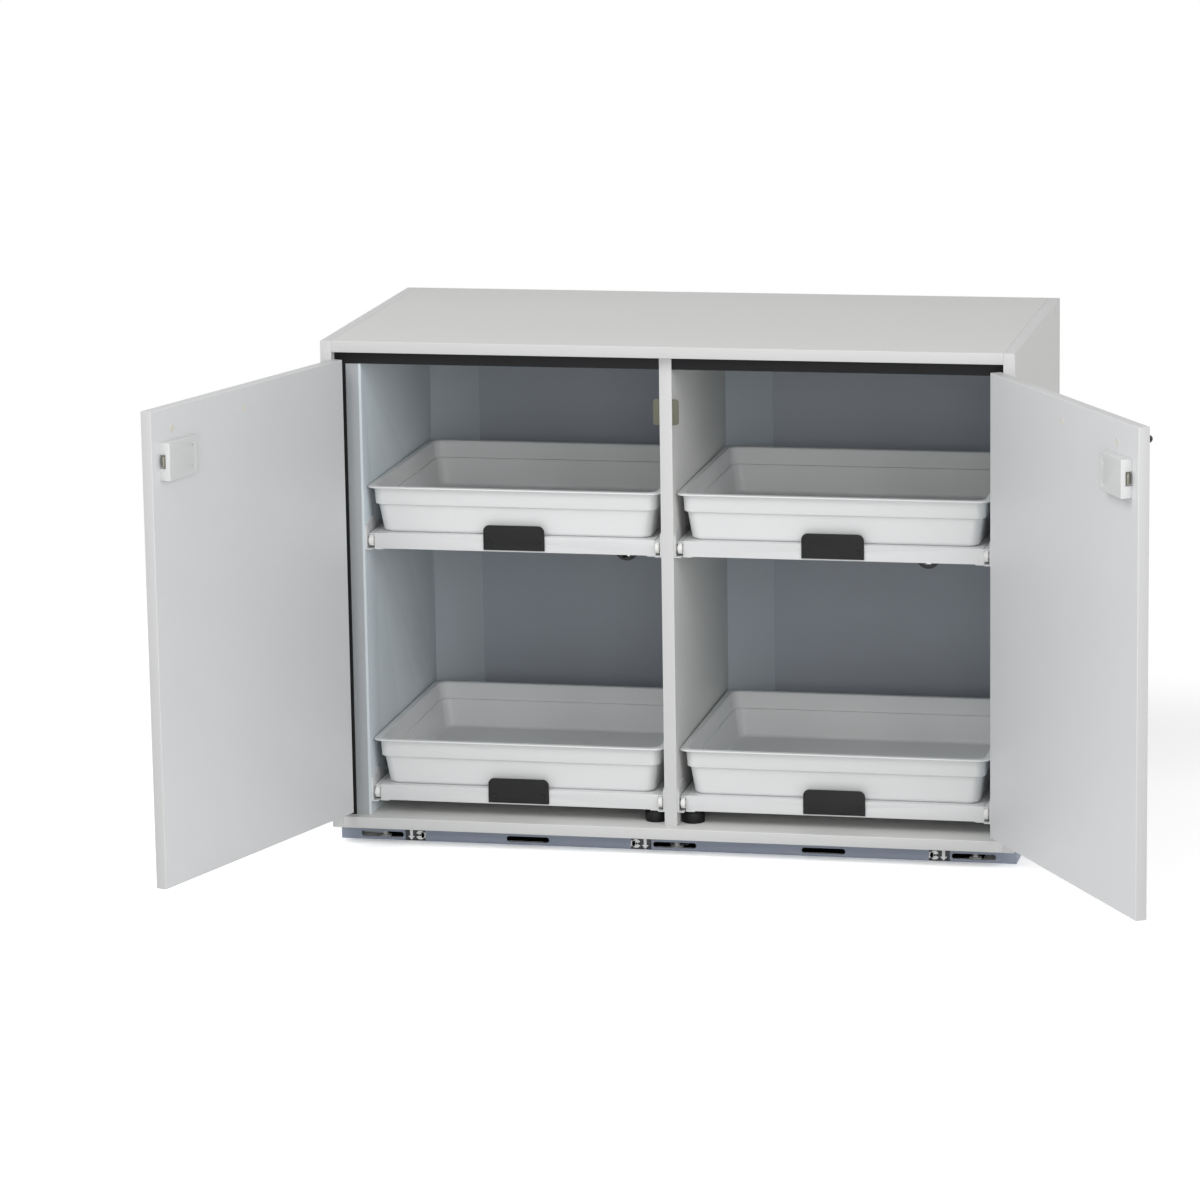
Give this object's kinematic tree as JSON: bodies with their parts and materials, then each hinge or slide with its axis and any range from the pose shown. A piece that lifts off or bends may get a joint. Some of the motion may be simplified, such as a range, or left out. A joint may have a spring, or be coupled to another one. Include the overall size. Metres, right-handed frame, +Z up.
{
  "type": "under-bench reagent cabinet",
  "caption": "Low grey cabinet with two wing doors on piano hinges, a divider, a plinth and pull-out shelves that carry lift-off plastic trays for reagent bottles.",
  "frame": {"origin": "plan centre of the cabinet's body, on the floor", "axes": "+X to the right as seen from the front, +Y to the back, +Z up; the doors open towards -Y"},
  "size_m": [1.5158, 1.0811, 0.82],
  "materials": {
    "board": "melamine-faced board, satin, light grey",
    "back_board": "coated board, matt, grey",
    "lining": "coated board, matt, cool grey",
    "seal": "matt black strip",
    "dark_plastic": "moulded, dark grey",
    "plinth": "powder coat, blue grey",
    "nylon": "moulded nylon, white",
    "black_plastic": "moulded, fine grain, black",
    "caps": "moulded, light grey",
    "strike": "dark nickel plate",
    "steel": "zinc plate",
    "white_metal": "powder coat, off-white",
    "cover_plug": "moulded, cream",
    "latch_plastic": "moulded, light grey",
    "bright_steel": "bright nickel plate",
    "tray_plastic": "thermoformed polypropylene, off-white"
  },
  "bodies": {
    "carcass": {"left_side_panel": "board", "right_side_panel": "board", "top_panel": "board", "bottom_panel": "board", "back_panel": "back_board", "divider_panel": "board", "inner_walls": "lining", "hinge_fillers": "lining", "seal_strips": "seal", "duct_boards": "lining", "vent_rosettes": "dark_plastic", "plinth_front_rail": "plinth", "plinth_inner_rails": "plinth", "levelling_feet": "nylon", "floor_caps": "black_plastic", "connector_caps": "caps", "strike_plate": "strike", "hinge_frame_leaves": "steel", "cabinet_runners": "white_metal", "carcass_screws": "steel"},
    "left_door": {"left_door_panel": "board", "left_door_hinge_leaf": "steel", "left_door_handle": "black_plastic", "left_door_screws": "steel", "left_screw_covers": "cover_plug", "left_latch_housing": "latch_plastic", "left_latch_spring": "steel"},
    "left_bolt": {"left_latch_bolt": "bright_steel"},
    "right_door": {"right_door_panel": "board", "right_door_hinge_leaf": "steel", "right_door_handle": "black_plastic", "right_door_screws": "steel", "right_screw_covers": "cover_plug", "right_latch_housing": "latch_plastic", "right_latch_spring": "steel"},
    "right_bolt": {"right_latch_bolt": "bright_steel"},
    "upper_left_drawer": {"upper_left_shelf": "white_metal", "upper_left_slides": "white_metal", "upper_left_pull": "black_plastic"},
    "upper_left_tray": {"upper_left_tray": "tray_plastic"},
    "upper_left_front_rollers": {"upper_left_front_rollers": "nylon"},
    "upper_left_rear_rollers": {"upper_left_rear_rollers": "nylon"},
    "upper_right_drawer": {"upper_right_shelf": "white_metal", "upper_right_slides": "white_metal", "upper_right_pull": "black_plastic"},
    "upper_right_tray": {"upper_right_tray": "tray_plastic"},
    "upper_right_front_rollers": {"upper_right_front_rollers": "nylon"},
    "upper_right_rear_rollers": {"upper_right_rear_rollers": "nylon"},
    "lower_left_drawer": {"lower_left_shelf": "white_metal", "lower_left_slides": "white_metal", "lower_left_pull": "black_plastic"},
    "lower_left_tray": {"lower_left_tray": "tray_plastic"},
    "lower_left_front_rollers": {"lower_left_front_rollers": "nylon"},
    "lower_left_rear_rollers": {"lower_left_rear_rollers": "nylon"},
    "lower_right_drawer": {"lower_right_shelf": "white_metal", "lower_right_slides": "white_metal", "lower_right_pull": "black_plastic"},
    "lower_right_tray": {"lower_right_tray": "tray_plastic"},
    "lower_right_front_rollers": {"lower_right_front_rollers": "nylon"},
    "lower_right_rear_rollers": {"lower_right_rear_rollers": "nylon"}
  },
  "joints": [
    {"name": "left_door_swing", "type": "hinge", "parent": "carcass", "child": "left_door", "pos_m": [-0.53, -0.2872, 0.425], "axis": [0, 0, -1], "range_deg": [-108, 17]},
    {"name": "left_bolt_slide", "type": "slide", "parent": "left_door", "child": "left_bolt", "axis": [0.309, 0.9511, 0], "range_m": [0, 0.0036], "stiffness_N_per_m": 400, "springref_m": -0.004, "deforming": ["left_latch_spring"]},
    {"name": "right_door_swing", "type": "hinge", "parent": "carcass", "child": "right_door", "pos_m": [0.53, -0.2872, 0.425], "axis": [0, 0, 1], "range_deg": [-121.5, 3.5]},
    {"name": "right_bolt_slide", "type": "slide", "parent": "right_door", "child": "right_bolt", "axis": [-0.5225, 0.8526, 0], "range_m": [0, 0.0036], "stiffness_N_per_m": 400, "springref_m": -0.004, "deforming": ["right_latch_spring"]},
    {"name": "upper_left_drawer_slide", "type": "slide", "parent": "carcass", "child": "upper_left_drawer", "axis": [0, -1, 0], "range_m": [0, 0.34]},
    {"name": "upper_left_tray_lift", "type": "slide", "parent": "upper_left_drawer", "child": "upper_left_tray", "axis": [0, 0, 1], "range_m": [0, 0.1]},
    {"name": "upper_left_front_roller_spin", "type": "hinge", "parent": "carcass", "child": "upper_left_front_rollers", "pos_m": [-0.25, -0.251, 0.4952], "axis": [1, 0, 0], "range_deg": [-5, 2170]},
    {"name": "upper_left_rear_roller_spin", "type": "hinge", "parent": "upper_left_drawer", "child": "upper_left_rear_rollers", "pos_m": [-0.25, 0.167, 0.4915], "axis": [1, 0, 0], "range_deg": [-5, 2535]},
    {"name": "upper_right_drawer_slide", "type": "slide", "parent": "carcass", "child": "upper_right_drawer", "axis": [0, -1, 0], "range_m": [0, 0.34]},
    {"name": "upper_right_tray_lift", "type": "slide", "parent": "upper_right_drawer", "child": "upper_right_tray", "axis": [0, 0, 1], "range_m": [0, 0.1]},
    {"name": "upper_right_front_roller_spin", "type": "hinge", "parent": "carcass", "child": "upper_right_front_rollers", "pos_m": [0.26025, -0.251, 0.4952], "axis": [1, 0, 0], "range_deg": [-5, 2170]},
    {"name": "upper_right_rear_roller_spin", "type": "hinge", "parent": "upper_right_drawer", "child": "upper_right_rear_rollers", "pos_m": [0.26025, 0.167, 0.4915], "axis": [1, 0, 0], "range_deg": [-5, 2535]},
    {"name": "lower_left_drawer_slide", "type": "slide", "parent": "carcass", "child": "lower_left_drawer", "axis": [0, -1, 0], "range_m": [0, 0.34]},
    {"name": "lower_left_tray_lift", "type": "slide", "parent": "lower_left_drawer", "child": "lower_left_tray", "axis": [0, 0, 1], "range_m": [0, 0.12]},
    {"name": "lower_left_front_roller_spin", "type": "hinge", "parent": "carcass", "child": "lower_left_front_rollers", "pos_m": [-0.25, -0.251, 0.0832], "axis": [1, 0, 0], "range_deg": [-5, 2170]},
    {"name": "lower_left_rear_roller_spin", "type": "hinge", "parent": "lower_left_drawer", "child": "lower_left_rear_rollers", "pos_m": [-0.25, 0.167, 0.0795], "axis": [1, 0, 0], "range_deg": [-5, 2535]},
    {"name": "lower_right_drawer_slide", "type": "slide", "parent": "carcass", "child": "lower_right_drawer", "axis": [0, -1, 0], "range_m": [0, 0.34]},
    {"name": "lower_right_tray_lift", "type": "slide", "parent": "lower_right_drawer", "child": "lower_right_tray", "axis": [0, 0, 1], "range_m": [0, 0.12]},
    {"name": "lower_right_front_roller_spin", "type": "hinge", "parent": "carcass", "child": "lower_right_front_rollers", "pos_m": [0.26025, -0.251, 0.0832], "axis": [1, 0, 0], "range_deg": [-5, 2170]},
    {"name": "lower_right_rear_roller_spin", "type": "hinge", "parent": "lower_right_drawer", "child": "lower_right_rear_rollers", "pos_m": [0.26025, 0.167, 0.0795], "axis": [1, 0, 0], "range_deg": [-5, 2535]}
  ],
  "couplings": [
    {"joint": "upper_left_front_roller_spin", "follows": "upper_left_drawer_slide", "rad_per_m": 111.11},
    {"joint": "upper_left_rear_roller_spin", "follows": "upper_left_drawer_slide", "rad_per_m": 129.87},
    {"joint": "upper_right_front_roller_spin", "follows": "upper_right_drawer_slide", "rad_per_m": 111.11},
    {"joint": "upper_right_rear_roller_spin", "follows": "upper_right_drawer_slide", "rad_per_m": 129.87},
    {"joint": "lower_left_front_roller_spin", "follows": "lower_left_drawer_slide", "rad_per_m": 111.11},
    {"joint": "lower_left_rear_roller_spin", "follows": "lower_left_drawer_slide", "rad_per_m": 129.87},
    {"joint": "lower_right_front_roller_spin", "follows": "lower_right_drawer_slide", "rad_per_m": 111.11},
    {"joint": "lower_right_rear_roller_spin", "follows": "lower_right_drawer_slide", "rad_per_m": 129.87}
  ]
}
